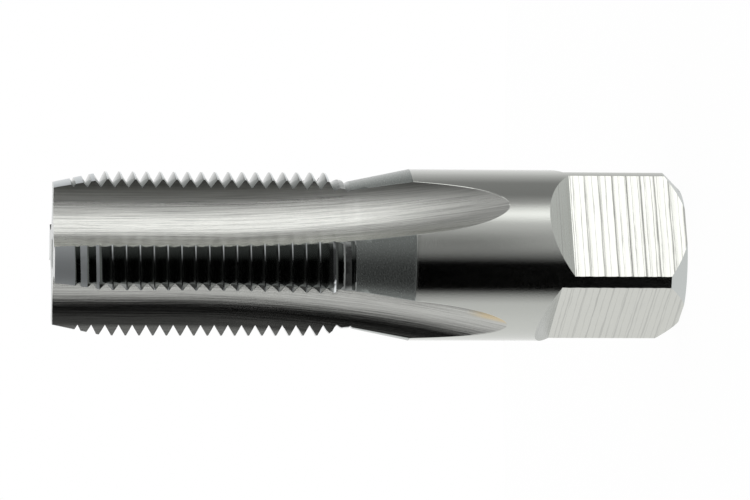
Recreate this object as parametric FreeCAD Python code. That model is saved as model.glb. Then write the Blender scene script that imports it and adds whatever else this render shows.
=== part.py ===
import FreeCAD, Part
import math
import os

# A straight pipe tap, turned, fluted and ground from one bar of tool steel.
# It stands on its square driving end, with its axis on Z and its cutting face at the top.
# Lengths are in millimetres, angles in degrees. A depth is measured from the cutting face,
# a height from the driving end.

# bar and shank
overallLength = 65.1
shankDiameter = 17.78
endBevel = 1.9              # 45 degree bevel round the driving end

# driving square
squareSides = 4
acrossFlats = 13.4
squareHeight = 12.3         # to where the full flat ends
rampAngle = 45.0            # where the cutter leaves each flat
squareTurn = -8.5           # turns the flats against the flutes

# thread, right hand
threadPitch = 25.4 / 18     # 18 threads to the inch
threadDiameter = 16.96
flankAngle = 30.0
crestFlat = 0.14
threadDepth = 27.9          # to the last full crest
threadStart = -86.7         # direction in which the crest meets the cutting face
leadDepth = 5.2             # ground down to start the tap in its hole
frontDiameter = 14.74
backBevelLength = 2.6
neckDiameter = 15.16
neckAngle = 11.4            # cone from the neck up to the shank

# flutes
fluteCount = 4
coreDiameter = 7.7
fluteRadius = 4.0
fluteChords = 8             # in the round bottom
rakeAngle = 3.5             # cutting wall, against the radius at its edge
heelAngle = 12.5            # heel wall, against the middle of the flute
fluteDepth = 12.0           # parallel part, before the cutter climbs
runOutDepth = 46.6          # where the cutter has left the shank
fluteSkip = 32.0            # middle of each flute, which the thread cuts pass by

# centres that the tap is ground between
centreAngle = 60.0
frontCentreDiameter = 3.4
backCentreDiameter = 4.6
pilotShare = 0.4            # pilot over mouth
pilotLength = 1.2

# how far each cut reaches past the bar
clearance = 0.1
reach = 2.0

shankRadius = shankDiameter / 2
threadRadius = threadDiameter / 2
flankSlope = math.tan(math.radians(flankAngle))
rootRadius = threadRadius - (threadPitch - crestFlat) / 2 / flankSlope
coreRadius = coreDiameter / 2
neckRadius = neckDiameter / 2
neckHeight = overallLength - threadDepth - backBevelLength
shankHeight = neckHeight - (shankRadius - neckRadius) / math.tan(math.radians(neckAngle))

origin = FreeCAD.Vector(0, 0, 0)
alongX = FreeCAD.Vector(1, 0, 0)
alongY = FreeCAD.Vector(0, 1, 0)
alongZ = FreeCAD.Vector(0, 0, 1)


def direction(angle):
    # unit vector in the XY plane
    return FreeCAD.Vector(math.cos(math.radians(angle)), math.sin(math.radians(angle)), 0)


def turned(outline):
    # solid of revolution about Z from radius and height pairs
    points = [FreeCAD.Vector(radius, 0, height) for radius, height in outline]
    return Part.Face(Part.makePolygon(points + points[:1])).revolve(origin, alongZ, 360)


def pattern(shape, count):
    # copies of a cut, evenly spaced about the axis
    copies = []
    for index in range(count):
        copy = shape.copy()
        copy.rotate(origin, alongZ, 360 / count * index)
        copies.append(copy)
    return copies


def makeBar():
    # the turned bar: driving end, shank, neck cone, thread blank and lead
    return turned([
        (0, 0),
        (shankRadius - endBevel, 0),
        (shankRadius, endBevel),
        (shankRadius, shankHeight),
        (neckRadius, neckHeight),
        (threadRadius, overallLength - threadDepth),
        (threadRadius, overallLength - leadDepth),
        (frontDiameter / 2, overallLength),
        (0, overallLength),
    ])


def makeToothGrooves():
    # the thread is cut land by land. Over the width of one land the helix is a ring tilted by
    # its lead, so each groove is a short stretch of such a ring, which begins and ends in the
    # open flutes beside the land
    span = 360 / fluteCount - fluteSkip
    mouthRadius = threadRadius + clearance
    mouthHalf = (mouthRadius - rootRadius) * flankSlope
    section = Part.Face(Part.makePolygon([
        FreeCAD.Vector(rootRadius, 0, 0),
        FreeCAD.Vector(mouthRadius, 0, mouthHalf),
        FreeCAD.Vector(mouthRadius, 0, -mouthHalf),
        FreeCAD.Vector(rootRadius, 0, 0),
    ]))
    section.rotate(origin, alongZ, -span / 2)
    groove = section.revolve(origin, alongZ, span)
    leadAngle = math.degrees(math.atan(threadPitch / (math.pi * (threadRadius + rootRadius))))
    groove.rotate(origin, alongX, leadAngle)

    grooves = []
    for land in range(fluteCount):
        middle = 360 / fluteCount * (land + 0.5)
        # the groove lies half a turn from the crest
        height = overallLength + threadPitch * (middle - threadStart - 180) / 360
        while height > neckHeight:
            copy = groove.copy()
            copy.rotate(origin, alongZ, middle)
            copy.translate(alongZ * height)
            grooves.append(copy)
            height -= threadPitch
    return grooves


def makeFluteSection(height):
    # outline of one flute at a height: a round bottom, in short chords, between the cutting
    # wall and the heel wall, both tangent to it and drawn out past the bar
    centre = FreeCAD.Vector(coreRadius + fluteRadius, 0, height)
    cuttingWall = rakeAngle - math.degrees(math.asin(fluteRadius / threadRadius))
    wallLength = shankRadius + reach - coreRadius
    first = 270 + cuttingWall
    sweep = heelAngle + 90 - first
    arc = [centre + direction(first + sweep * step / fluteChords) * fluteRadius
           for step in range(fluteChords + 1)]
    cuttingEnd = arc[0] + direction(cuttingWall) * wallLength
    heelEnd = arc[-1] + direction(heelAngle) * wallLength
    return Part.Face(Part.makePolygon([cuttingEnd] + arc + [heelEnd, cuttingEnd]))


def makeFlute():
    # the cutter runs straight from the cutting face, then climbs out on a circular path
    # that brings the bottom of the flute to the surface of the shank
    climb = runOutDepth - fluteDepth
    rise = shankRadius - coreRadius
    pathRadius = (climb * climb + rise * rise) / 2 / rise
    section = makeFluteSection(overallLength - fluteDepth)
    straight = section.extrude(alongZ * (fluteDepth + reach))
    pivot = FreeCAD.Vector(coreRadius + pathRadius, 0, overallLength - fluteDepth)
    turn = math.degrees(math.asin(climb / pathRadius)) + reach
    return straight.fuse(section.revolve(pivot, -alongY, turn))


def makeFlatCut():
    # what is milled away from one side of the square, ending in a ramp
    flat = acrossFlats / 2
    outer = shankRadius + reach
    rampTop = squareHeight + (outer - flat) / math.tan(math.radians(rampAngle))
    side = Part.Face(Part.makePolygon([
        FreeCAD.Vector(flat, -outer, -reach),
        FreeCAD.Vector(outer, -outer, -reach),
        FreeCAD.Vector(outer, -outer, rampTop),
        FreeCAD.Vector(flat, -outer, squareHeight),
        FreeCAD.Vector(flat, -outer, -reach),
    ]))
    cut = side.extrude(alongY * outer * 2)
    cut.rotate(origin, alongZ, squareTurn)
    return cut


def makeCentre(face, mouthDiameter, inward):
    # cone and pilot of a centre hole in the end face at a height, inward being +1 or -1
    mouth = mouthDiameter / 2
    pilot = mouth * pilotShare
    slope = math.tan(math.radians(centreAngle / 2))
    coneDepth = (mouth - pilot) / slope
    return turned([
        (0, face - inward * clearance),
        (mouth + clearance * slope, face - inward * clearance),
        (pilot, face + inward * coneDepth),
        (pilot, face + inward * (coneDepth + pilotLength)),
        (0, face + inward * (coneDepth + pilotLength + pilot * slope)),
    ])


cuts = pattern(makeFlute(), fluteCount)
cuts += pattern(makeFlatCut(), squareSides)
cuts.append(makeCentre(overallLength, frontCentreDiameter, -1))
cuts.append(makeCentre(0, backCentreDiameter, 1))

tap = makeBar()
for cut in cuts:
    tap = tap.cut(cut)
tap = tap.cut(makeToothGrooves())

os.makedirs("parts", exist_ok=True)
tap.Solids[0].exportStep("parts/tap.step")
print("tap: solids", len(tap.Solids), "valid", tap.isValid(), "volume", round(tap.Volume, 1), "mm3")
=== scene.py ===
import math

import bmesh
import bpy
import numpy as np
from mathutils import Matrix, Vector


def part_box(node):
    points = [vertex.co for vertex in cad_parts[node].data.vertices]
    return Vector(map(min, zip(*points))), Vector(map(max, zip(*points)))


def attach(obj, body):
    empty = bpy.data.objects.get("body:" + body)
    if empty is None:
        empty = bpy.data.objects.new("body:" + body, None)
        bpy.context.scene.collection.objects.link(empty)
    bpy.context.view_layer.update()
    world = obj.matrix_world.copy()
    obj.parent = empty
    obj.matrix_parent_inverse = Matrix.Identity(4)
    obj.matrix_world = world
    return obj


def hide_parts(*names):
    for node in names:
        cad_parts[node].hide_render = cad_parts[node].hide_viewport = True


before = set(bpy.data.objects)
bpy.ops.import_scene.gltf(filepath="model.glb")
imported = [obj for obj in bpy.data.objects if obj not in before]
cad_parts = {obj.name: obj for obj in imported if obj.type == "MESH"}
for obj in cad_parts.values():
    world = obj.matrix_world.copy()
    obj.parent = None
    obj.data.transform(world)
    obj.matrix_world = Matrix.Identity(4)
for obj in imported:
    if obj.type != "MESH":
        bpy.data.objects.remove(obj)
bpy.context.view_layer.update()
mm = 0.001
low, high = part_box("tap")
overallLength = (high[2] - low[2]) / mm
print("frame loaded, tap", round(overallLength, 2), "mm long")

# Depths run from the cutting face down to the driving end, heights from the driving end up.
# Angles are in degrees about the axis, and the first flute opens towards +X. Lengths are in
# millimetres until the mesh is made.
tapShape = {
    # the turned bar
    "frontRadius": 7.37,                  # at the cutting face
    "threadRadius": 8.48,
    "neckRadius": 7.58,
    "shankRadius": 8.89,
    "leadDepth": 5.2,
    "crestDepth": 27.9,                   # last full crest
    "neckDepth": 30.5,
    "shankDepth": 36.86,
    "endBevel": 1.9,
    "backBevelStart": (0.6, -0.12),       # past the last crest, and from the thread's radius
    "backBevelEnd": (1.3, 0.22),          # past the last crest, and from the neck's radius
    "beadHeight": 0.012,                  # where neck and shank meet
    "beadWidth": 0.06,
    "frontCentre": (1.7, 0.68, 1.2),      # mouth radius, pilot radius, pilot length
    "backCentre": (2.3, 0.92, 1.2),
    "centreAngle": 30.0,                  # of the cone's wall to the axis
    # the thread
    "threadPitch": 25.4 / 18,
    "threadStart": -86.7,                 # where the crest meets the cutting face
    "flankAngle": 30.0,
    "crestFlat": 0.13,
    "grooveStart": (1.3, 2.1),            # depths over which the groove reaches its root
    "grooveEnd": 30.4,                    # and from which it fades
    "fadeDepth": 31.2,                    # where the thread has died out
    "wideGrooves": (28.4, 29.5),          # depths over which the last grooves widen
    "widening": 1.1,                      # by this share
    "tornCrests": (28.0, 28.9),           # depths over which the crests become torn
    "nickDepth": 0.02,                    # deepest nick in a full crest
    "nickLevel": 0.25,                    # ripple above which there is a nick
    "tearDepth": 0.045,                   # the same for the torn crests
    "tearLevel": -0.3,
    "nickSpacing": (0.7, 11.3, 7.1),      # ripple per degree, and per crest in two directions
    "nickSeed": 5,
    "wornFrom": 0.7,                      # share of the flank's height where the wear begins
    "wearStart": (0.3, 1.5),              # depths over which the wear sets in
    "wearEnd": (30.0, 31.0),              # and ends
    # the flutes
    "coreRadius": 3.85,
    "fluteRadius": 4.0,
    "rakeAngle": 3.5,
    "heelAngle": 12.5,
    "fluteDepth": 12.0,                   # where the cutter starts to climb
    "runOutDepth": 46.6,
    "edgeBreak": 0.03,                    # how far the edges of the run-outs are broken
    "edgeBreakShare": 0.1,                # but no more than this share of the flute's depth there
    "edgeBreakEase": 1.0,                 # depth over which the broken edge sets in
    # the square
    "flatDistance": 6.7,
    "squareHeights": (12.3, 12.3, 13.2, 11.9),   # of the four flats
    "rampSlopes": (1.0, 1.0, 1.0, 0.86),
    "squareTurn": -8.5,
    "millFeeds": ((1.46, 0.0, 0.02), (0.68, 0.2, 0.008)),   # length, start, height of a scallop
    "millEase": (0.3, 0.2),               # over which scallops begin at the end, stop at the ramp
    "flatShift": 0.4,                     # how much later each flat's scallops start
}
meshDetail = {
    "wallSteps": 6,
    "bottomSteps": 26,
    "heelSteps": 4,
    "landSteps": 24,
    "edgeWidth": 0.45,                    # degrees of land that a broken edge takes
    "edgeGuesses": (-29.5, 28.5),         # of the angles of a flute's cutting and heel edge
    "edgeRounds": 4,
    "spareTurns": 3,                      # rows that start past either end of the thread
    "neckRows": 14,
    "runOutRows": 34,
    "beadRows": (-0.14, -0.07, -0.02, 0.03, 0.08, 0.14),
    "tipRows": (1.6, 1.2, 0.9, 0.6, 0.4, 0.2, 0.1, 0.0),
    "beadRoom": 0.5,                      # between the bead and the rows on either side
    "joinDepth": 47.0,                    # plain shank between run-out and square
    "chordSteps": 14,
    "bevelRows": 13,
    "millRows": 96,
    "rampRows": 12,
    "joinRows": 18,
    "rampRoom": 2.3,                      # above the longest flat, before the columns turn back
    "fluteSpacing": 40.0,                 # between two flutes in the UV map
    "flatSpacing": 20.0,                  # and between two flats
    "mergeDistance": 0.002,
    "leastEdge": 0.001,
    "sharpAngle": 24.0,
    "shankTolerance": 0.0015,             # from the shank's radius
    "shankRoom": 0.3,                     # under the bead
}
flankSlope = math.tan(math.radians(tapShape["flankAngle"]))
flankWidth = (tapShape["threadPitch"] - tapShape["crestFlat"]) / 2
rootRadius = tapShape["threadRadius"] - flankWidth / flankSlope


def smoothStep(start, end, value):
    # the share of the way from start to end, kept within 0 and 1, as three times its square less
    # twice its cube
    share = np.clip((value - start) / (end - start), 0, 1)
    return share * share * (3 - 2 * share)


def turned(angle, x, y):
    # x and y turned about the axis: x cosine less y sine, and x sine plus y cosine
    c, s = np.cos(np.radians(angle)), np.sin(np.radians(angle))
    return x * c - y * s, x * s + y * c


def blankRadius(depth):
    # outside of the turned bar, as straight lines between corners: lead cone, thread blank, back
    # bevel, neck cone, shank, end bevel
    s = tapShape
    bevelStart, bevelEnd = s["backBevelStart"], s["backBevelEnd"]
    corners = [
        (0, s["frontRadius"]),
        (s["leadDepth"], s["threadRadius"]),
        (s["crestDepth"], s["threadRadius"]),
        (s["crestDepth"] + bevelStart[0], s["threadRadius"] + bevelStart[1]),
        (s["crestDepth"] + bevelEnd[0], s["neckRadius"] + bevelEnd[1]),
        (s["neckDepth"], s["neckRadius"]),
        (s["shankDepth"], s["shankRadius"]),
        (overallLength - s["endBevel"], s["shankRadius"]),
        (overallLength, s["shankRadius"] - s["endBevel"]),
    ]
    return np.interp(depth, *zip(*corners))


def grooveRadius(depth):
    # bottom of the thread: the blank's radius, moved to the root's by a share that is 0 at either
    # end, where the grinding wheel ran in and out
    s = tapShape
    blank = blankRadius(depth)
    cut = smoothStep(*s["grooveStart"], depth) * (1 - smoothStep(s["grooveEnd"], s["fadeDepth"], depth))
    return np.minimum(blank, blank + (rootRadius - blank) * cut)


def ripple(a, b, seed):
    # smooth unevenness from -1 to 1: the mean of sines over a and b in seeded directions and
    # phases, each finer than the one before
    random = np.random.default_rng(seed)
    octaves, finer = 5, 1.7
    total = 0
    for octave in range(octaves):
        turn, phase = random.uniform(0, 2 * math.pi, 2)
        total = total + np.sin((a * math.cos(turn) + b * math.sin(turn)) * finer ** octave + phase)
    return total / octaves


def threadPoint(angle, turn, part):
    # height and radius on the thread. A groove rises by one pitch for each turn about the axis,
    # and a point lies beside it by its share of the flank's width and then of the crest's; its
    # radius goes from the root's to the blank's up the flank, less the wear. Turn counts grooves
    # from the front; part is 0 in the root, 1 at the crest's edge and 2 at the crest's middle.
    s = tapShape
    groove = overallLength + s["threadPitch"] * ((angle - s["threadStart"] - 180) / 360 - turn)
    depth = overallLength - groove
    wider = 1 + s["widening"] * smoothStep(*s["wideGrooves"], depth)
    half = (blankRadius(depth) - grooveRadius(depth)) * flankSlope * wider
    half = np.clip(half, 0, flankWidth)
    side = np.abs(part)
    offset = np.where(side <= 1, side * half, half + (side - 1) * (s["threadPitch"] / 2 - half))
    height = np.clip(groove + np.sign(part) * offset, overallLength - s["fadeDepth"], overallLength)
    depth = overallLength - height
    blank, bottom = blankRadius(depth), grooveRadius(depth)
    radius = bottom + np.minimum(side, 1) * (blank - bottom)

    crest = turn + (part < -1)            # both rows of a crest belong to the same turn
    perDegree, perCrest, perCrestAcross = s["nickSpacing"]
    uneven = ripple(angle * perDegree + crest * perCrest, crest * perCrestAcross, s["nickSeed"])
    nicks = np.clip(uneven - s["nickLevel"], 0, 1) * s["nickDepth"]
    tears = np.clip(uneven - s["tearLevel"], 0, 1) * smoothStep(*s["tornCrests"], depth) * s["tearDepth"]
    worn = smoothStep(*s["wearStart"], depth) * (1 - smoothStep(*s["wearEnd"], depth))
    return height, radius - (nicks + tears) * worn * smoothStep(s["wornFrom"], 1.0, side)


def fluteFloor(depth):
    # how far a flute's bottom is from the axis: level, then along the cutter's arc, whose radius
    # is the climb squared and the rise squared over twice the rise
    s = tapShape
    climb = s["runOutDepth"] - s["fluteDepth"]
    rise = s["shankRadius"] - s["coreRadius"]
    pathRadius = (climb ** 2 + rise ** 2) / 2 / rise
    along = np.clip(depth - s["fluteDepth"], 0, climb)
    return s["coreRadius"] + pathRadius - np.sqrt(pathRadius ** 2 - along ** 2)


def fluteEdges(radius, depth):
    # where the flute's outline meets a circle of this radius, on its cutting and its heel side.
    # On a straight wall the reach from the end of the round bottom solves a quadratic equation;
    # where the cutter has climbed, the turn on the round bottom comes from the law of cosines.
    s = tapShape
    centre = fluteFloor(depth) + s["fluteRadius"]
    cuttingWall = s["rakeAngle"] - math.degrees(math.asin(s["fluteRadius"] / s["threadRadius"]))
    edges = []
    for wallAngle, side in ((cuttingWall, -1), (s["heelAngle"], 1)):
        wallX, wallY = math.cos(math.radians(wallAngle)), math.sin(math.radians(wallAngle))
        startX = centre - side * s["fluteRadius"] * wallY
        startY = side * s["fluteRadius"] * wallX
        startRadius = np.hypot(startX, startY)
        outward = startX * wallX + startY * wallY
        reach = -outward + np.sqrt(np.maximum(outward * outward - startRadius ** 2 + radius ** 2, 0))
        cosine = (radius ** 2 - centre ** 2 - s["fluteRadius"] ** 2) / (2 * centre * s["fluteRadius"])
        turn = np.arccos(np.clip(cosine, -1, 1))
        onWall = startRadius < radius
        edges.append({
            "centre": centre,
            "reach": np.where(onWall, reach, 0),
            "turn": np.where(onWall, math.radians(90 + side * wallAngle), turn) * side,
            "wallX": wallX,
            "wallY": wallY,
        })
    return edges


def wallPoints(edge, share):
    # points up a wall: the end of the round bottom, and a share of the reach along the wall
    radius = tapShape["fluteRadius"]
    reach = edge["reach"] * share
    x = edge["centre"] + radius * np.cos(edge["turn"]) + reach * edge["wallX"]
    y = radius * np.sin(edge["turn"]) + reach * edge["wallY"]
    return x, y, radius * (math.pi - np.abs(edge["turn"])) + reach


def edgeAngle(edge):
    # angle about the axis of an edge, from the arc tangent of y over x
    x, y, length = wallPoints(edge, 1)
    return np.degrees(np.arctan2(y, x))


def flutePoints(cutting, heel):
    # outline of the flute from cutting edge to heel edge, with the length along it from the
    # flute's middle: down a wall, round the bottom by cosine and sine of the turn, and up a wall
    radius = tapShape["fluteRadius"]
    downWall = np.linspace(1, 0, meshDetail["wallSteps"], endpoint=False)
    upWall = np.linspace(0, 1, meshDetail["heelSteps"] + 1)[1:]
    cuttingX, cuttingY, cuttingLength = wallPoints(cutting, downWall)
    heelX, heelY, heelLength = wallPoints(heel, upWall)
    share = np.linspace(0, 1, meshDetail["bottomSteps"] + 1)
    turn = cutting["turn"] + 2 * math.pi + (heel["turn"] - cutting["turn"] - 2 * math.pi) * share
    x = np.hstack([cuttingX, cutting["centre"] + radius * np.cos(turn), heelX])
    y = np.hstack([cuttingY, radius * np.sin(turn), heelY])
    return x, y, np.hstack([-cuttingLength, radius * (math.pi - turn), heelLength])


finishNames = ["thread", "crest", "lead", "flute", "neck", "shank", "square", "ramp", "end"]
finishOf = {name: index for index, name in enumerate(finishNames)}
tapGrids = []


def addGrid(x, y, z, u, v, finish):
    # a grid of points as quads between neighbours, with a UV in millimetres and a finish; faces
    # look outwards when columns turn anticlockwise about the axis and rows rise
    rows, columns = x.shape
    first = sum(len(grid["points"]) for grid in tapGrids)
    index = np.arange(rows * columns).reshape(rows, columns) + first
    quads = np.stack([index[:-1, :-1], index[:-1, 1:], index[1:, 1:], index[1:, :-1]], -1)
    tapGrids.append({
        "points": np.stack([x, y, z], -1).reshape(-1, 3),
        "uv": np.stack([u, v], -1).reshape(-1, 2),
        "quads": quads.reshape(-1, 4),
        "finish": np.broadcast_to(finish, (rows - 1, columns - 1)).reshape(-1),
    })


def findEdge(rowsAt, rowCount, broken, side, turn):
    # where rows of the body meet the edge of a flute: a row's height and radius depend on the
    # angle, and the edge's angle on both, so a few rounds from a guess settle them
    angle = np.full((rowCount, 1), turn + meshDetail["edgeGuesses"][side])
    for _ in range(meshDetail["edgeRounds"]):
        height, radius = rowsAt(angle)
        edge = fluteEdges(radius - broken, overallLength - height)[side]
        angle = turn + edgeAngle(edge)
    return height, edge, angle


def addQuarter(quarter, rowsAt, rowCount, broken, landFinish):
    # one flute and the land after it. A flute's row goes evenly from the height of its cutting
    # edge to that of its heel edge, and a land's from this heel edge to the next cutting edge by
    # equal angles, but for a narrow column along each edge, which is lowered by broken.
    turn = 90.0 * quarter
    cuttingHeight, cutting, _ = findEdge(rowsAt, rowCount, broken, 0, turn)
    heelHeight, heel, start = findEdge(rowsAt, rowCount, broken, 1, turn)
    _, _, end = findEdge(rowsAt, rowCount, broken, 0, turn + 90)
    x, y, across = flutePoints(cutting, heel)
    share = np.linspace(0, 1, x.shape[1])
    z = cuttingHeight * (1 - share) + heelHeight * share
    x, y = turned(turn, x, y)
    addGrid(x, y, z, across + meshDetail["fluteSpacing"] * quarter, z, finishOf["flute"])

    share = np.linspace(0, 1, meshDetail["landSteps"] + 1)
    angle = start * (1 - share) + end * share
    angle[:, 1] = angle[:, 0] + np.minimum(meshDetail["edgeWidth"], angle[:, 1] - angle[:, 0])
    angle[:, -2] = angle[:, -1] - np.minimum(meshDetail["edgeWidth"], angle[:, -1] - angle[:, -2])
    z, radius = rowsAt(angle)
    radius[:, [0, -1]] -= broken
    x = radius * np.cos(np.radians(angle))
    y = radius * np.sin(np.radians(angle))
    middleDepth = overallLength - (z[:-1, :-1] + z[1:, 1:]) / 2
    addGrid(x, y, z, np.radians(angle) * radius, z, landFinish(middleDepth))


def makeThreadedPart():
    # rows follow the helix: on both sides the crest's middle and edge, three on the flank, root
    s = tapShape
    parts = np.array([-2, -1.0, -0.94, -0.6, -0.3, 0, 0.3, 0.6, 0.94, 1.0])
    spare = meshDetail["spareTurns"]
    turns = np.arange(int(s["fadeDepth"] / s["threadPitch"]) + spare, -spare, -1)
    turnRows = np.repeat(turns, len(parts))[:, None].astype(float)
    partRows = np.tile(parts, len(turns))[:, None]
    finishEnds = {"lead": 4.5, "crest": 29.1, "thread": 30.4}   # depths; past the last is neck

    def rowsAt(angle):
        return threadPoint(angle, turnRows, partRows)

    def finish(depth):
        onCrest = np.arange(len(depth)) % len(parts) % (len(parts) - 1) == 0
        crest = np.where(depth < finishEnds["lead"], finishOf["lead"], finishOf["crest"])
        crest = np.where(depth > finishEnds["crest"], finishOf["thread"], crest)
        crest = np.where(depth > finishEnds["thread"], finishOf["neck"], crest)
        return np.where(onCrest[:, None], crest, finishOf["thread"])

    for quarter in range(4):
        addQuarter(quarter, rowsAt, len(turnRows), 0.0, finish)


def makeNeckAndRunOut():
    # level rows of the blank's radius, closer at the tips of the flutes and at the bead, which is
    # a bell curve over the depth
    s, detail = tapShape, meshDetail
    bead = s["shankDepth"] + np.array(detail["beadRows"])
    tips = s["runOutDepth"] - np.array(detail["tipRows"])
    neck = np.linspace(s["fadeDepth"], s["shankDepth"] - detail["beadRoom"], detail["neckRows"])
    runOut = np.linspace(s["shankDepth"] + detail["beadRoom"], tips[0], detail["runOutRows"], endpoint=False)
    depths = np.concatenate([neck, bead, runOut, tips, [detail["joinDepth"]]])[::-1, None]
    beadShare = np.exp(-((depths - s["shankDepth"]) / s["beadWidth"]) ** 2)
    radii = blankRadius(depths) + s["beadHeight"] * beadShare
    fluteDepths = np.maximum(radii - fluteFloor(depths), 0)
    broken = np.minimum(s["edgeBreak"], s["edgeBreakShare"] * fluteDepths)
    broken = broken * smoothStep(s["fadeDepth"], s["fadeDepth"] + s["edgeBreakEase"], depths)

    def rowsAt(angle):
        return overallLength - depths + 0 * angle, radii + 0 * angle

    def finish(depth):
        return np.where(depth < s["shankDepth"], finishOf["neck"], finishOf["shank"])

    for quarter in range(4):
        addQuarter(quarter, rowsAt, len(depths), broken, finish)


def millMarks(height):
    # how proud the end mill left the flat: scallops of a coarse and a fine feed, each the square
    # of one less the sine's size
    return sum(proud * (1 - np.abs(np.sin(math.pi * (height + start) / length))) ** 2
               for length, start, proud in tapShape["millFeeds"])


def cornerShares():
    # shares of a land or corner from edge to edge, with a narrow one at either end
    shares = np.linspace(0, 1, meshDetail["landSteps"] + 1)
    shares[1], shares[-2] = meshDetail["edgeWidth"] / 90, 1 - meshDetail["edgeWidth"] / 90
    return shares


def makeSquare():
    # each level is a circle with four chords cut off: half a chord is the radius times the sine
    # of half its angle, whose cosine is the flat's distance over the radius. Along a flat's ramp
    # the distance grows until the chord leaves the circle.
    s, detail = tapShape, meshDetail
    shank, longest = s["shankRadius"], max(s["squareHeights"])
    rampAngles = np.linspace(0, math.acos(s["flatDistance"] / shank), detail["rampRows"])
    rises = shank * np.cos(rampAngles) - s["flatDistance"]
    joinStart = longest + detail["rampRoom"]
    heights = np.concatenate(
        [np.linspace(0, s["endBevel"], detail["bevelRows"]),
         np.linspace(s["endBevel"], longest, detail["millRows"]),
         np.linspace(joinStart, overallLength - detail["joinDepth"], detail["joinRows"])]
        + [start + rises / slope for start, slope in zip(s["squareHeights"], s["rampSlopes"])])
    heights = np.unique(np.round(heights, 3))[:, None]
    radius = blankRadius(overallLength - heights)
    middles = (heights[:-1] + heights[1:]) / 2
    shares = np.linspace(0, 1, detail["chordSteps"] + 1)
    corners = cornerShares()
    # above the ramps the columns turn back to meet those of the flutes
    back = -s["squareTurn"] * smoothStep(joinStart, heights[-1], heights)

    def flat(number):
        # a flat's distance from the axis at each level, half its chord's angle, and where it is
        # ramp
        start, slope = s["squareHeights"][number % 4], s["rampSlopes"][number % 4]
        easeIn, easeOut = s["millEase"]
        fade = smoothStep(0, easeIn, heights) * (1 - smoothStep(start - easeOut, start, heights))
        marks = fade * millMarks(heights + s["flatShift"] * (number % 4))
        distance = s["flatDistance"] + np.maximum(heights - start, 0) * slope + marks
        distance = np.minimum(distance, radius)
        return distance, np.arccos(distance / radius), middles > start

    for quarter in range(4):
        turn = s["squareTurn"] + 90 * quarter + back
        distance, half, onRamp = flat(quarter)
        along = radius * np.sin(half) * (2 * shares - 1)
        x, y = turned(turn, distance + 0 * along, along)
        z = heights + 0 * along
        finish = np.where(onRamp, finishOf["ramp"], finishOf["square"])
        addGrid(x, y, z, along + detail["flatSpacing"] * quarter, z + s["flatShift"] * quarter, finish)

        angle = half * (1 - corners) + (math.pi / 2 - flat(quarter + 1)[1]) * corners
        x, y = turned(turn, radius * np.cos(angle), radius * np.sin(angle))
        z = heights + 0 * angle
        finish = np.where(middles < s["endBevel"], finishOf["end"], finishOf["shank"])
        addGrid(x, y, z, (angle + np.radians(turn)) * radius, z, finish)


def addFace(x, y, turn, height, centre, inward):
    # an end face from its outline in to a centre hole. The outline is a quarter's, turned to its
    # four places and closed; flat rings mix it with the mouth's circle, and circles about the
    # axis follow for the cone, the pilot and the drill's point.
    turns = turn + 90.0 * np.arange(4)[:, None]
    x, y = (np.append(ring, ring[0, 0]) for ring in turned(turns, x, y))
    mouth, pilot, pilotLength = centre
    slope = math.tan(math.radians(tapShape["centreAngle"]))
    cone = (mouth - pilot) / slope
    radii = np.array([mouth, pilot, pilot, 0.0])[:, None]
    depths = np.array([0, cone, cone + pilotLength, cone + pilotLength + pilot * slope])
    angle = np.arctan2(y, x)
    share = np.array([0.0, 0.25, 0.5, 0.75])[:, None]
    x = np.vstack([x * (1 - share) + mouth * np.cos(angle) * share, radii * np.cos(angle)])
    y = np.vstack([y * (1 - share) + mouth * np.sin(angle) * share, radii * np.sin(angle)])
    z = np.append(np.full(len(share), height), height + inward * depths)[:, None] + 0 * x
    if inward > 0:
        x, y, z = x[::-1], y[::-1], z[::-1]
    addGrid(x, y, z, x, y, finishOf["end"])


def makeFaces():
    # a quarter of the cutting face is bounded by a flute and a land, a quarter of the driving end
    # by a flat's chord and a corner; both follow the body's rows that lie in the face
    s = tapShape
    front = s["frontRadius"]
    cutting, heel = fluteEdges(np.array([[front]]), np.array([[0.0]]))
    fluteX, fluteY, _ = flutePoints(cutting, heel)
    start, end = edgeAngle(heel)[0, 0], 90 + edgeAngle(cutting)[0, 0]
    land = np.radians(np.linspace(start, end, meshDetail["landSteps"] + 1)[1:-1])
    addFace(np.append(fluteX, front * np.cos(land)), np.append(fluteY, front * np.sin(land)), 0.0,
            overallLength, s["frontCentre"], -1)

    radius = s["shankRadius"] - s["endBevel"]
    half = math.acos(s["flatDistance"] / radius)
    chord = radius * math.sin(half) * np.linspace(-1, 1, meshDetail["chordSteps"] + 1)
    shares = cornerShares()
    corner = (half * (1 - shares) + (math.pi / 2 - half) * shares)[1:-1]
    addFace(np.append(s["flatDistance"] + 0 * chord, radius * np.cos(corner)),
            np.append(chord, radius * np.sin(corner)), s["squareTurn"], 0.0, s["backCentre"], 1)


def straightenShank(mesh):
    # the ground shank is a true cylinder: its whole faces take the direction straight away from
    # the axis as normal, x and y over their distance from it, and all others keep theirs
    s = tapShape
    points = np.empty(len(mesh.vertices) * 3)
    mesh.vertices.foreach_get("co", points)
    corners = np.empty(len(mesh.loops), int)
    mesh.loops.foreach_get("vertex_index", corners)
    starts = np.empty(len(mesh.polygons), int)
    mesh.polygons.foreach_get("loop_start", starts)
    x, y, z = points.reshape(-1, 3)[corners].T / mm
    radius = np.hypot(x, y)
    top = overallLength - s["shankDepth"] - meshDetail["shankRoom"]
    onShank = np.abs(radius - s["shankRadius"]) < meshDetail["shankTolerance"]
    onShank = onShank & (z > s["endBevel"] - meshDetail["leastEdge"]) & (z < top)
    whole = np.minimum.reduceat(onShank.astype(int), starts)
    whole = np.repeat(whole, np.diff(np.append(starts, len(corners))))
    away = whole / np.maximum(radius, meshDetail["leastEdge"])
    mesh.normals_split_custom_set(np.stack([x * away, y * away, 0 * z], -1).tolist())


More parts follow.
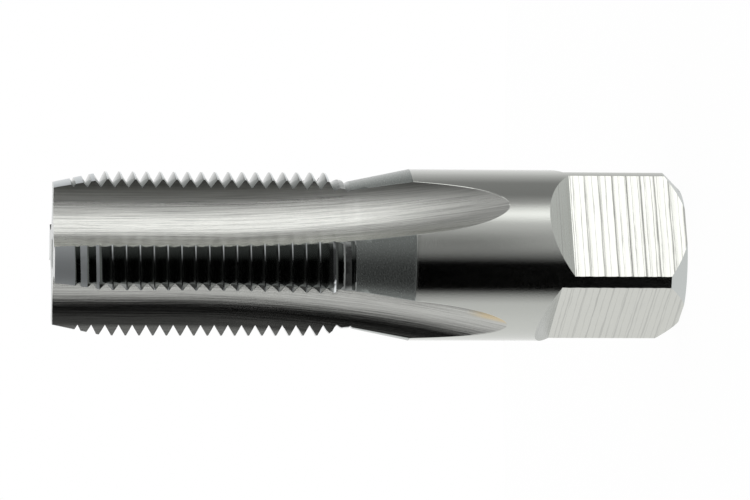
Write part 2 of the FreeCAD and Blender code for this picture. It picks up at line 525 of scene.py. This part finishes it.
def makeTapMesh():
    # all grids as one mesh: seams are merged, faces of no area taken out, and edges sharp where
    # the faces on their two sides differ by more than the sharp angle
    grids = {key: np.concatenate([grid[key] for grid in tapGrids]) for key in tapGrids[0]}
    mesh = bpy.data.meshes.new("tap_steel")
    mesh.from_pydata(grids["points"] * mm, [], grids["quads"])
    mesh.polygons.foreach_set("material_index", grids["finish"].astype(np.int32))
    uv = mesh.uv_layers.new(name="millimetres")
    uv.data.foreach_set("uv", grids["uv"][grids["quads"].reshape(-1)].reshape(-1).astype(np.float32))
    work = bmesh.new()
    work.from_mesh(mesh)
    bmesh.ops.remove_doubles(work, verts=work.verts, dist=meshDetail["mergeDistance"] * mm)
    bmesh.ops.dissolve_degenerate(work, edges=work.edges, dist=meshDetail["leastEdge"] * mm)
    bmesh.ops.recalc_face_normals(work, faces=work.faces)
    work.to_mesh(mesh)
    work.free()
    mesh.shade_smooth()
    mesh.set_sharp_from_angle(angle=math.radians(meshDetail["sharpAngle"]))
    straightenShank(mesh)
    piece = bpy.data.objects.new("tap_steel", mesh)
    bpy.context.scene.collection.objects.link(piece)
    return piece


makeThreadedPart()
makeNeckAndRunOut()
makeSquare()
makeFaces()
tap = makeTapMesh()
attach(tap, "root")
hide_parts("tap")
print("tap surface made,", len(tap.data.polygons), "faces")


def linear(code):
    # sRGB hex to the linear colour that the shaders take: a short straight start, then a power
    values = [int(code[i:i + 2], 16) / 255 for i in (0, 2, 4)]
    return tuple(v / 12.92 if v <= 0.04045 else ((v + 0.055) / 1.055) ** 2.4 for v in values) + (1,)


def addNode(tree, kind, settings=None, links=None):
    # a node with its properties and input values set and its inputs linked; a tuple of names
    # takes a tuple of values
    node = tree.nodes.new(kind)
    for keys, values in (settings or {}).items():
        for key, value in zip(keys, values) if isinstance(keys, tuple) else [(keys, values)]:
            if isinstance(key, int) or key in node.inputs:
                node.inputs[key].default_value = value
            else:
                setattr(node, key, value)
    for key, socket in (links or {}).items():
        tree.links.new(socket, node.inputs[key])
    return node


fromTo = ("From Min", "From Max", "To Min", "To Max")
mixA, mixB, mixed = 6, 7, 2               # the colour sockets of a Mix node

# Bare tool steel all over, and each finish is named for how its face was made. Streaks are per
# millimetre across and along the cut: real grinding lines are some hundredths of a millimetre
# wide, which is too fine to show, so they are drawn a sixth to a quarter of a millimetre wide.
# Gloss is how far the roughness varies with them, and bump their height in micrometres.
steelLooks = {
    "thread": {                           # smooth dark grooves, which mirror one another
        "name": "thread-ground tool steel", "colour": "a8aba9", "roughness": 0.1,
        "streaks": (0.4, 5.0), "gloss": 0.03, "bump": 0.3},
    "crest": {                            # bright lines, slightly uneven along their length
        "name": "cylindrically ground tool steel", "colour": "eef2f3", "roughness": 0.12,
        "streaks": (2.0, 5.0), "gloss": 0.04, "bump": 0.8},
    "lead": {                             # pale and satin, without a sharp reflection
        "name": "relief-ground tool steel", "colour": "dfe4e6", "roughness": 0.3,
        "streaks": (2.0, 5.0), "gloss": 0.04, "bump": 1.5},
    "flute": {                            # long fine lines, and highlights drawn out across them
        "name": "flute-ground tool steel", "colour": "f2f3ee", "roughness": 0.21,
        "streaks": (6.0, 0.1), "gloss": 0.06, "bump": 30.0},
    "neck": {                             # grey and grainy
        "name": "turned tool steel", "colour": "9ea3a0", "roughness": 0.2,
        "streaks": (6.0, 6.0), "gloss": 0.1, "bump": 15.0},
    "shank": {                            # almost a mirror, with a soft edge to what it reflects
        "name": "centreless-ground tool steel", "colour": "c9cbc6", "roughness": 0.09,
        "streaks": (6.0, 6.0), "gloss": 0.03, "bump": 6.0},
    "square": {                           # bright bands between thin darker feed lines
        "name": "end-milled tool steel", "colour": "e5e6e0", "duller": "c2c3bd", "roughness": 0.12,
        "streaks": (0.25, 5.0), "gloss": 0.05, "bump": 4.0},
    "ramp": {                             # greyer than the flats, with the same feed lines
        "name": "angle-milled tool steel", "colour": "b2b5b0", "roughness": 0.24,
        "streaks": (0.25, 5.0), "gloss": 0.06, "bump": 8.0},
    "end": {                              # plain satin
        "name": "faced tool steel", "colour": "c6cac8", "roughness": 0.22,
        "streaks": (3.0, 3.0), "gloss": 0.05, "bump": 3.0},
}


def makeSteel(look):
    # metal with a noise drawn out along the cut, which varies its gloss and lifts a fine bump
    material = bpy.data.materials.new(look["name"])
    material.use_nodes = True
    tree = material.node_tree
    tree.nodes.clear()
    uv = addNode(tree, "ShaderNodeUVMap", {"uv_map": "millimetres"})
    mapping = addNode(tree, "ShaderNodeMapping", {"Scale": (*look["streaks"], 1)},
                      {"Vector": uv.outputs[0]})
    streaks = addNode(tree, "ShaderNodeTexNoise", {"Scale": 1.0, "Detail": 5.0, "Roughness": 0.6},
                      {"Vector": mapping.outputs[0]})
    least, most = look["roughness"] - look["gloss"] / 2, look["roughness"] + look["gloss"]
    gloss = addNode(tree, "ShaderNodeMapRange", {fromTo: (0.3, 0.7, least, most)},
                    {"Value": streaks.outputs[0]})
    bumpInMillimetres = look["bump"] / 1000
    height = addNode(tree, "ShaderNodeMath", {"operation": "MULTIPLY", 1: bumpInMillimetres},
                     {0: streaks.outputs[0]})
    bump = addNode(tree, "ShaderNodeBump", {"Strength": 1.0, "Distance": mm}, {"Height": height.outputs[0]})
    steel = addNode(tree, "ShaderNodeBsdfPrincipled", {"Base Color": linear(look["colour"]), "Metallic": 1.0},
                    {"Roughness": gloss.outputs[0], "Normal": bump.outputs[0]})
    addNode(tree, "ShaderNodeOutputMaterial", None, {"Surface": steel.outputs[0]})
    tap.data.materials.append(material)
    return {"tree": tree, "uv": uv, "streaks": streaks, "gloss": gloss, "height": height, "bump": bump,
            "steel": steel}


fluteLook = {
    # four numbers are a range and the values at its two ends. Across is the length along the
    # outline from a flute's middle, towards the heel, and place is that with the third flute at
    # 80 and the fourth at 120; up is the height from the driving end.
    "drawn": 0.85,                        # how far highlights are drawn out across the lines
    "hollow": (0.2, 5.2, 0.0, -0.6),      # across: bump that makes the heel's side look flatter
    "climb": (37.0, 21.0, 0.0, 2.0),      # up: the painted shade on the heel wall comes lower towards the tip
    "heelShadeAndDull": (2.4, 5.6, 1.0, 0.3),         # across: painted shade on the heel wall behind each land, whose colour is darkened
    "rougher": (1.0, 0.4, 0.0, 0.35),     # heel shade: the heel wall is also rougher there
    "lines": (0.36, 0.56, 0.74, 1.0),     # streaks: the deeper ones are darker
    "paintedShade": (78.0, 76.9, 0.7, 0.16),     # place: painted shade on the third flute, darkest under its lower edge
    "paintedShadeEnd": (75.7, 74.8, 0.0, 0.45),  # place: less so by its cutting edge, and the first two flutes, hidden from the camera, get the same painted shade
                                          # flutes, which the photograph hides, are as dull
    "fourthFlute": 100.0,                 # place: from here on there is no painted shade
    "strawUp": (23.0, 20.5, 0.0, 0.6),    # up: straw tint from grinding heat at the tip
    "strawPlace": (80.0, 80.8),           # place: on the heel's side of the third flute
    "straw": "e0c690",
}


def finishFlutesWithPaintedShade(nodes):
    # flattens the look of the bottom, paints shade on the heel wall and makes it rougher, paints shade on the
    # third flute and the two hidden ones, and tints the third flute's tip
    tree, look = nodes["tree"], fluteLook
    steel, streaks = nodes["steel"], nodes["streaks"].outputs[0]
    smooth = {"interpolation_type": "SMOOTHSTEP"}
    steel.inputs["Anisotropic"].default_value = look["drawn"]
    tangent = addNode(tree, "ShaderNodeTangent", {"direction_type": "UV_MAP", "uv_map": "millimetres"})
    tree.links.new(tangent.outputs[0], steel.inputs["Tangent"])
    split = addNode(tree, "ShaderNodeSeparateXYZ", None, {0: nodes["uv"].outputs[0]})
    place, up = split.outputs[0], split.outputs[1]
    halfSpacing = meshDetail["fluteSpacing"] / 2
    across = addNode(tree, "ShaderNodeMath", {"operation": "WRAP", 1: halfSpacing, 2: -halfSpacing},
                     {0: place})

    hollow = addNode(tree, "ShaderNodeMapRange", {**smooth, fromTo: look["hollow"]},
                     {"Value": across.outputs[0]})
    whole = addNode(tree, "ShaderNodeMath", {"operation": "ADD"},
                    {0: nodes["height"].outputs[0], 1: hollow.outputs[0]})
    tree.links.new(whole.outputs[0], nodes["bump"].inputs["Height"])

    # painted shade on the heel wall: its colour is darkened towards the heel and lower towards the tip, and
    # the same mask makes it rougher
    climb = addNode(tree, "ShaderNodeMapRange", {fromTo: look["climb"]}, {"Value": up})
    upWall = addNode(tree, "ShaderNodeMath", {"operation": "ADD"},
                     {0: across.outputs[0], 1: climb.outputs[0]})
    heelShadeAndDull = addNode(tree, "ShaderNodeMapRange", {**smooth, fromTo: look["heelShadeAndDull"]},
                   {"Value": upWall.outputs[0]})
    rougher = addNode(tree, "ShaderNodeMapRange", {fromTo: look["rougher"]}, {"Value": heelShadeAndDull.outputs[0]})
    rough = addNode(tree, "ShaderNodeMath", {"operation": "ADD"},
                    {0: nodes["gloss"].outputs[0], 1: rougher.outputs[0]})
    tree.links.new(rough.outputs[0], steel.inputs["Roughness"])

    # painted shade: the colour of the third flute is darkened, most under its lower edge, and that of the two
    # hidden flutes too; the fourth flute keeps its own
    paintedShade = addNode(tree, "ShaderNodeMapRange", {**smooth, fromTo: look["paintedShade"]}, {"Value": place})
    paintedShadeEnd = addNode(tree, "ShaderNodeMapRange", {**smooth, fromTo: look["paintedShadeEnd"]}, {"Value": place})
    fourth = addNode(tree, "ShaderNodeMath", {"operation": "GREATER_THAN", 1: look["fourthFlute"]},
                     {0: place})
    paintedShadeBoth = addNode(tree, "ShaderNodeMath", {"operation": "MAXIMUM"},
                      {0: paintedShade.outputs[0], 1: paintedShadeEnd.outputs[0]})
    clean = addNode(tree, "ShaderNodeMath", {"operation": "MAXIMUM"},
                    {0: paintedShadeBoth.outputs[0], 1: fourth.outputs[0]})
    lines = addNode(tree, "ShaderNodeMapRange", {fromTo: look["lines"]}, {"Value": streaks})
    lined = addNode(tree, "ShaderNodeMath", {"operation": "MULTIPLY"},
                    {0: heelShadeAndDull.outputs[0], 1: lines.outputs[0]})
    shade = addNode(tree, "ShaderNodeMath", {"operation": "MULTIPLY"},
                    {0: lined.outputs[0], 1: clean.outputs[0]})
    bare = linear(steelLooks["flute"]["colour"])
    shaded = addNode(tree, "ShaderNodeMix", {"data_type": "RGBA", mixA: (0, 0, 0, 1), mixB: bare},
                     {0: shade.outputs[0]})

    strawUp = addNode(tree, "ShaderNodeMapRange", {**smooth, fromTo: look["strawUp"]}, {"Value": up})
    strawPlace = addNode(tree, "ShaderNodeMapRange", {**smooth, fromTo: look["strawPlace"]},
                         {"Value": place})
    third = addNode(tree, "ShaderNodeMath", {"operation": "LESS_THAN", 1: look["fourthFlute"]}, {0: place})
    band = addNode(tree, "ShaderNodeMath", {"operation": "MULTIPLY"},
                   {0: strawUp.outputs[0], 1: strawPlace.outputs[0]})
    straw = addNode(tree, "ShaderNodeMath", {"operation": "MULTIPLY"},
                    {0: band.outputs[0], 1: third.outputs[0]})
    tinted = addNode(tree, "ShaderNodeMix", {"data_type": "RGBA", mixB: linear(look["straw"])},
                     {0: straw.outputs[0], mixA: shaded.outputs[mixed]})
    tree.links.new(tinted.outputs[mixed], steel.inputs["Base Color"])


flatLook = {
    "wander": 0.35,                       # how far the feed lines leave the straight, in mm
    "faint": (49.0, 50.0, 0.6, 0.0),      # along the flats' map: fainter on the first three
    "feeds": ((0.73, 0.09, "a0a19d"), (0.34, 0.06, "adaea9")),   # half feed, line width, colour
}


def lineFlats(nodes, look):
    # thin darker lines where the end mill's feeds meet, as a zigzag over the height that wanders
    # with the streaks
    tree = nodes["tree"]
    split = addNode(tree, "ShaderNodeSeparateXYZ", None, {0: nodes["uv"].outputs[0]})
    wander = addNode(tree, "ShaderNodeMath", {"operation": "MULTIPLY_ADD", 1: flatLook["wander"]},
                     {0: nodes["streaks"].outputs[0], 2: split.outputs[1]})
    faint = addNode(tree, "ShaderNodeMapRange", {fromTo: flatLook["faint"]}, {"Value": split.outputs[0]})
    plain = addNode(tree, "ShaderNodeMix", {"data_type": "RGBA", mixA: linear(look["colour"]),
                                           mixB: linear(look.get("duller", look["colour"]))},
                    {0: faint.outputs[0]})
    colour = plain.outputs[mixed]
    for halfFeed, width, dark in flatLook["feeds"]:
        zigzag = addNode(tree, "ShaderNodeMath", {"operation": "PINGPONG", 1: halfFeed},
                         {0: wander.outputs[0]})
        line = addNode(tree, "ShaderNodeMapRange", {"interpolation_type": "SMOOTHSTEP", fromTo: (0.0, width)},
                       {"Value": zigzag.outputs[0]})
        shown = addNode(tree, "ShaderNodeMath", {"operation": "MAXIMUM"},
                        {0: line.outputs[0], 1: faint.outputs[0]})
        lined = addNode(tree, "ShaderNodeMix", {"data_type": "RGBA", mixA: linear(dark)},
                        {0: shown.outputs[0], mixB: colour})
        colour = lined.outputs[mixed]
    tree.links.new(colour, nodes["steel"].inputs["Base Color"])


steelNodes = {name: makeSteel(steelLooks[name]) for name in finishNames}
finishFlutesWithPaintedShade(steelNodes["flute"])
for name in ("square", "ramp"):
    lineFlats(steelNodes[name], steelLooks[name])
print("steel finishes made")

view = {
    "direction": -125.65,                 # angle about the axis from which the near side is seen
    "rise": 6.01,                         # the cutting end is nearer
    "roll": 0.254,
    "distance": 509.97,
    "aimDepth": 32.5,
    "shift": (-0.938, -0.479),
    "focalPixels": 4917.1,
    "imageWidth": 750,
    "sensorWidth": 36.0,
    "clipStart": 0.01,
}


def makeCamera():
    # the photograph is taken across the tap, so the camera lies on its side: its right points
    # down to the driving end; rise turns it in that plane, and roll about its own axis
    direction, rise, roll = (math.radians(view[name]) for name in ("direction", "rise", "roll"))
    towards = np.array([math.cos(direction), math.sin(direction), 0])
    upwards = np.array([-math.sin(direction), math.cos(direction), 0])
    down = np.array([0, 0, -1.0])
    level = math.cos(rise) * down + math.sin(rise) * towards
    back = -math.sin(rise) * down + math.cos(rise) * towards
    right = math.cos(roll) * level + math.sin(roll) * upwards
    up = -math.sin(roll) * level + math.cos(roll) * upwards
    aim = np.array([0, 0, overallLength - view["aimDepth"]])
    place = (aim - view["shift"][0] * right - view["shift"][1] * up + view["distance"] * back) * mm
    data = bpy.data.cameras.new("camera")
    data.sensor_width = view["sensorWidth"]
    data.lens = view["focalPixels"] * data.sensor_width / view["imageWidth"]
    data.clip_start = view["clipStart"]
    camera = bpy.data.objects.new("camera", data)
    matrix = np.eye(4)
    matrix[:3] = np.stack([right, up, back, place], -1)
    camera.matrix_world = Matrix(matrix.tolist())
    bpy.context.scene.collection.objects.link(camera)
    bpy.context.scene.camera = camera


makeCamera()
print("camera placed")

studio = {
    # angle round the tap from the camera, up in the picture, and how bright the room is there
    "low": [(-180, 1.0), (-100, 0.86), (-68, 0.74), (-58, 0.46), (-47, 0.0), (-9, 0.0), (2, 0.21), (9, 0.24),
            (16, 0.21), (23, 0.28), (30, 0.44), (37, 0.61), (44, 0.7), (51, 1.12), (57, 1.42), (62, 1.25),
            (67, 0.82), (75, 0.43), (88, 0.27), (115, 0.3), (146, 0.8), (180, 1.0)],
    "thread": [(-180, 1.0), (-100, 0.86), (-68, 0.74), (-58, 0.46), (-47, 0.0), (-10, 0.0), (2, 0.26),
               (9, 0.42), (16, 0.48), (23, 0.5), (30, 0.56), (37, 0.68), (44, 0.8), (51, 1.25), (57, 1.55),
               (62, 1.35), (67, 1.05), (75, 0.5), (88, 0.27), (115, 0.3), (146, 0.8), (180, 1.0)],
    "high": [(-180, 0.9), (-75, 0.75), (-60, 0.28), (-52, 0.15), (-44, 0.06), (-30, 0.04), (-15, 0.05),
             (-5, 0.1), (3, 0.14), (10, 0.19), (18, 0.25), (28, 0.29), (41, 0.37), (54, 0.5), (66, 0.42),
             (80, 0.28), (97, 0.22), (130, 0.38), (160, 0.7), (180, 0.9)],
    # table: the room below the horizon in the world, also painted on the table as the reflection the steel
    # sees there
    "table": [(-180, 0.9), (-60, 0.85), (-48, 0.02), (10, 0.04), (35, 0.8), (60, 0.9), (180, 0.9)],
    "over": 0.3,
    "above": 0.6,
    # each layer takes over from the ones before between two elevations in degrees
    "layers": [(-6.3, -4.3, "thread"), (10, 17, "high"), (20, 25, "over"), (35, 65, "above"),
               (-18, -40, "table")],
}


def addBands(tree, x, y, bands):
    # brightness by the direction round the tap: the arc tangent of y over x as a share of a turn
    angle = addNode(tree, "ShaderNodeMath", {"operation": "ARCTAN2"}, {0: y, 1: x})
    share = addNode(tree, "ShaderNodeMath", {"operation": "MULTIPLY_ADD", 1: 1 / (2 * math.pi),
                                            2: 1.5 - view["direction"] / 360}, {0: angle.outputs[0]})
    wrapped = addNode(tree, "ShaderNodeMath", {"operation": "FRACT"}, {0: share.outputs[0]})
    ramp = addNode(tree, "ShaderNodeValToRGB", None, {0: wrapped.outputs[0]})
    while len(ramp.color_ramp.elements) < len(bands):
        ramp.color_ramp.elements.new(0.5)
    for element, (at, level) in zip(ramp.color_ramp.elements, bands):
        element.position = (at + 180) / 360
        element.color = (level, level, level, 1)
    return ramp.outputs[0]


def makeWorld():
    # white where the camera looks; in the steel, upright bands of a studio round the tap, mixed
    # by the sine of the elevation
    world = bpy.data.worlds.new("studio")
    bpy.context.scene.world = world
    world.use_nodes = True
    tree = world.node_tree
    tree.nodes.clear()
    coordinates = addNode(tree, "ShaderNodeTexCoord")
    split = addNode(tree, "ShaderNodeSeparateXYZ", None, {0: coordinates.outputs["Generated"]})
    x, y, z = split.outputs
    colour = addBands(tree, x, y, studio["low"])
    for start, end, name in studio["layers"]:
        sines = (math.sin(math.radians(start)), math.sin(math.radians(end)))
        height = addNode(tree, "ShaderNodeMapRange", {"interpolation_type": "SMOOTHSTEP", fromTo: sines},
                         {"Value": z})
        settings, links = {"data_type": "RGBA"}, {0: height.outputs[0], mixA: colour}
        if isinstance(studio[name], float):
            settings[mixB] = (studio[name], studio[name], studio[name], 1)
        else:
            links[mixB] = addBands(tree, x, y, studio[name])
        colour = addNode(tree, "ShaderNodeMix", settings, links).outputs[mixed]
    room = addNode(tree, "ShaderNodeBackground", {"Strength": 1.0}, {"Color": colour})
    white = addNode(tree, "ShaderNodeBackground", {"Color": (1, 1, 1, 1), "Strength": 1.0})
    rays = addNode(tree, "ShaderNodeLightPath")
    mix = addNode(tree, "ShaderNodeMixShader", None,
                  {0: rays.outputs["Is Camera Ray"], 1: room.outputs[0], 2: white.outputs[0]})
    addNode(tree, "ShaderNodeOutputWorld", None, {0: mix.outputs[0]})


table = {
    "radius": 0.14,                       # metres, as all below that are lengths
    "columns": 96,
    "sink": 0.00002,                      # under the tap's end
    "paint": 0.8,
    "grazing": (0.55, 0.8),               # facing values between which the polish takes over
    "underTap": 0.9,                      # how bright the painted reflection is right by the tap
    "underTapRadii": (0.0095, 0.0125),
    "white": 1.08,                        # how bright the camera sees it
    "shadowShare": 0.12,                  # how much of the tap's shadow it then shows
}


def makeFloor():
    # a round white table, as rings of a growing radius, polished, so that at a low angle the steel
    # sees the room in it; at steeper angles it glows with a painted reflection of the room's bands,
    # bright right by the tap; the camera sees it white with the tap's faint shadow
    rings = np.array([0.0, 0.25, 0.5, 0.75, 1.0])[:, None] * table["radius"]
    angle = np.linspace(0, 2 * math.pi, table["columns"] + 1)
    x = rings * np.cos(angle)
    y = rings * np.sin(angle)
    index = np.arange(x.size).reshape(x.shape)
    quads = np.stack([index[:-1, :-1], index[1:, :-1], index[1:, 1:], index[:-1, 1:]], -1).reshape(-1, 4)
    mesh = bpy.data.meshes.new("floor")
    mesh.from_pydata(np.stack([x, y, 0 * x - table["sink"]], -1).reshape(-1, 3), [], quads)
    floor = bpy.data.objects.new("floor", mesh)
    material = bpy.data.materials.new("polished white table with painted room reflection")   # a soft mirror at a low angle, with a painted reflection of the room elsewhere
    material.use_nodes = True
    tree = material.node_tree
    tree.nodes.clear()
    paint = addNode(tree, "ShaderNodeBsdfDiffuse", {"Color": (table["paint"],) * 3 + (1,)})
    polish = addNode(tree, "ShaderNodeBsdfGlossy", {"Color": (1, 1, 1, 1), "Roughness": 0.0})
    weight = addNode(tree, "ShaderNodeLayerWeight", {"Blend": 0.5})
    grazing = addNode(tree, "ShaderNodeMapRange", {fromTo: table["grazing"]},
                      {"Value": weight.outputs["Facing"]})
    place = addNode(tree, "ShaderNodeTexCoord").outputs["Object"]
    split = addNode(tree, "ShaderNodeSeparateXYZ", None, {0: place})
    away = addNode(tree, "ShaderNodeVectorMath", {"operation": "LENGTH"}, {0: place})
    under = addNode(tree, "ShaderNodeMapRange", {fromTo: table["underTapRadii"]},
                    {"Value": away.outputs["Value"]})
    # painted reflection: for the steel the table glows with the room's bands, and evenly bright right by the
    # tap
    bands = addBands(tree, split.outputs[0], split.outputs[1], studio["table"])
    seen = addNode(tree, "ShaderNodeMix", {"data_type": "RGBA", mixA: (table["underTap"],) * 3 + (1,)},
                   {0: under.outputs[0], mixB: bands})
    paintedRoomReflection = addNode(tree, "ShaderNodeEmission", {"Strength": 1.0}, {"Color": seen.outputs[mixed]})
    steelSees = addNode(tree, "ShaderNodeMixShader", None,
                        {0: grazing.outputs[0], 1: paintedRoomReflection.outputs[0], 2: polish.outputs[0]})
    white = addNode(tree, "ShaderNodeEmission", {"Color": (1, 1, 1, 1), "Strength": table["white"]})
    cameraSees = addNode(tree, "ShaderNodeMixShader", {0: table["shadowShare"]},
                         {1: white.outputs[0], 2: paint.outputs[0]})
    rays = addNode(tree, "ShaderNodeLightPath")
    mix = addNode(tree, "ShaderNodeMixShader", None,
                  {0: rays.outputs["Is Camera Ray"], 1: steelSees.outputs[0], 2: cameraSees.outputs[0]})
    addNode(tree, "ShaderNodeOutputMaterial", None, {0: mix.outputs[0]})
    mesh.materials.append(material)
    bpy.context.scene.collection.objects.link(floor)


makeWorld()
makeFloor()
bpy.context.scene.view_settings.view_transform = "Standard"
print("studio made")
